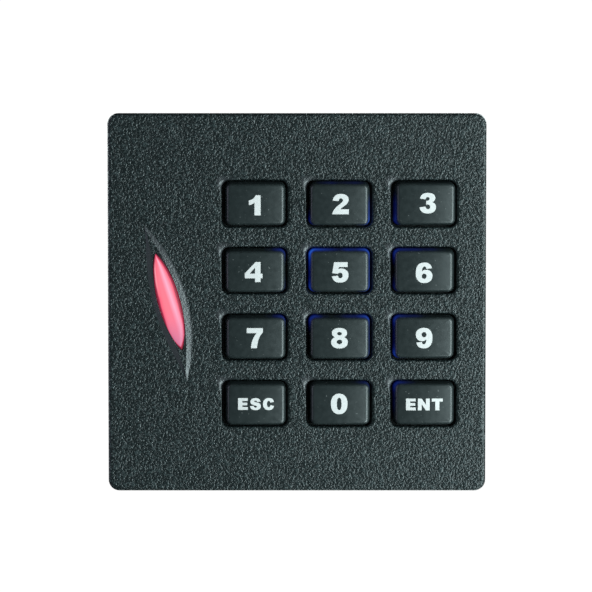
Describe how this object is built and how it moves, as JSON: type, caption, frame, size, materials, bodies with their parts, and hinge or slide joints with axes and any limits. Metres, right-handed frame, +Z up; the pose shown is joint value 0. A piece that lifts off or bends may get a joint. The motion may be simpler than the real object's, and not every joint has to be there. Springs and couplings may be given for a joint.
{
  "type": "keypad card reader",
  "caption": "Square wall-mounted contactless card reader with a sprung keypad, a leaf-shaped status light and a wall plate.",
  "frame": {"origin": "centre of the wall plate's rear face, on the wall", "axes": "+Z up the wall, +Y into the wall, so the keypad faces -Y, and +X to the right as seen by a person at the keypad"},
  "size_m": [0.086, 0.02, 0.086],
  "materials": {
    "housing_plastic": "dark grey moulded plastic with a coarse spark-eroded grain",
    "key_plastic": "smooth satin dark grey key caps with white legends",
    "lens_plastic": "translucent red light pipe, glossy, lit from behind",
    "rear_plastic": "fine matt black moulded plastic",
    "plate_plastic": "fine matt black moulded plastic",
    "rubber": "soft matt black rubber",
    "silicone": "translucent silicone, blue where it is lit",
    "carbon_rubber": "matt black conductive rubber",
    "board_laminate": "green lacquered laminate",
    "coil_copper": "lacquered copper winding",
    "component_can": "satin metal can",
    "chip_plastic": "black moulded component body",
    "socket_plastic": "ivory nylon",
    "led_plastic": "white component body with a clear window",
    "screw_steel": "zinc plated steel"
  },
  "bodies": {
    "housing": {"antenna_coil": "coil_copper", "backlight_led_1": "led_plastic", "backlight_led_2": "led_plastic", "backlight_led_3": "led_plastic", "backlight_led_4": "led_plastic", "backlight_led_5": "led_plastic", "backlight_led_6": "led_plastic", "board_screw_1": "screw_steel", "board_screw_2": "screw_steel", "board_screw_3": "screw_steel", "board_screw_4": "screw_steel", "buzzer": "chip_plastic", "cable_grommet": "rubber", "cable_socket": "socket_plastic", "clock_crystal": "component_can", "front_cover": "housing_plastic", "housing_screw_1": "screw_steel", "housing_screw_2": "screw_steel", "housing_screw_3": "screw_steel", "housing_screw_4": "screw_steel", "keypad_mat": "silicone", "locking_screw": "screw_steel", "main_board": "board_laminate", "perimeter_seal": "rubber", "processor_chip": "chip_plastic", "radio_chip": "chip_plastic", "rear_cover": "rear_plastic", "smoothing_capacitor": "component_can", "status_led_green": "led_plastic", "status_led_red": "led_plastic", "status_lens": "lens_plastic", "voltage_regulator": "chip_plastic", "wall_plate": "plate_plastic"},
    "button_1": {"key_1": "key_plastic", "contact_pill_1": "carbon_rubber"},
    "button_2": {"key_2": "key_plastic", "contact_pill_2": "carbon_rubber"},
    "button_3": {"key_3": "key_plastic", "contact_pill_3": "carbon_rubber"},
    "button_4": {"key_4": "key_plastic", "contact_pill_4": "carbon_rubber"},
    "button_5": {"key_5": "key_plastic", "contact_pill_5": "carbon_rubber"},
    "button_6": {"key_6": "key_plastic", "contact_pill_6": "carbon_rubber"},
    "button_7": {"key_7": "key_plastic", "contact_pill_7": "carbon_rubber"},
    "button_8": {"key_8": "key_plastic", "contact_pill_8": "carbon_rubber"},
    "button_9": {"key_9": "key_plastic", "contact_pill_9": "carbon_rubber"},
    "button_esc": {"key_esc": "key_plastic", "contact_pill_esc": "carbon_rubber"},
    "button_0": {"key_0": "key_plastic", "contact_pill_0": "carbon_rubber"},
    "button_ent": {"key_ent": "key_plastic", "contact_pill_ent": "carbon_rubber"}
  },
  "joints": [
    {"name": "press_1", "type": "slide", "parent": "housing", "child": "button_1", "axis": [0, 1, 0], "range_m": [0, 0.0012], "stiffness_N_per_m": 900, "springref_m": -0.0003},
    {"name": "press_2", "type": "slide", "parent": "housing", "child": "button_2", "axis": [0, 1, 0], "range_m": [0, 0.0012], "stiffness_N_per_m": 900, "springref_m": -0.0003},
    {"name": "press_3", "type": "slide", "parent": "housing", "child": "button_3", "axis": [0, 1, 0], "range_m": [0, 0.0012], "stiffness_N_per_m": 900, "springref_m": -0.0003},
    {"name": "press_4", "type": "slide", "parent": "housing", "child": "button_4", "axis": [0, 1, 0], "range_m": [0, 0.0012], "stiffness_N_per_m": 900, "springref_m": -0.0003},
    {"name": "press_5", "type": "slide", "parent": "housing", "child": "button_5", "axis": [0, 1, 0], "range_m": [0, 0.0012], "stiffness_N_per_m": 900, "springref_m": -0.0003},
    {"name": "press_6", "type": "slide", "parent": "housing", "child": "button_6", "axis": [0, 1, 0], "range_m": [0, 0.0012], "stiffness_N_per_m": 900, "springref_m": -0.0003},
    {"name": "press_7", "type": "slide", "parent": "housing", "child": "button_7", "axis": [0, 1, 0], "range_m": [0, 0.0012], "stiffness_N_per_m": 900, "springref_m": -0.0003},
    {"name": "press_8", "type": "slide", "parent": "housing", "child": "button_8", "axis": [0, 1, 0], "range_m": [0, 0.0012], "stiffness_N_per_m": 900, "springref_m": -0.0003},
    {"name": "press_9", "type": "slide", "parent": "housing", "child": "button_9", "axis": [0, 1, 0], "range_m": [0, 0.0012], "stiffness_N_per_m": 900, "springref_m": -0.0003},
    {"name": "press_esc", "type": "slide", "parent": "housing", "child": "button_esc", "axis": [0, 1, 0], "range_m": [0, 0.0012], "stiffness_N_per_m": 900, "springref_m": -0.0003},
    {"name": "press_0", "type": "slide", "parent": "housing", "child": "button_0", "axis": [0, 1, 0], "range_m": [0, 0.0012], "stiffness_N_per_m": 900, "springref_m": -0.0003},
    {"name": "press_ent", "type": "slide", "parent": "housing", "child": "button_ent", "axis": [0, 1, 0], "range_m": [0, 0.0012], "stiffness_N_per_m": 900, "springref_m": -0.0003}
  ]
}
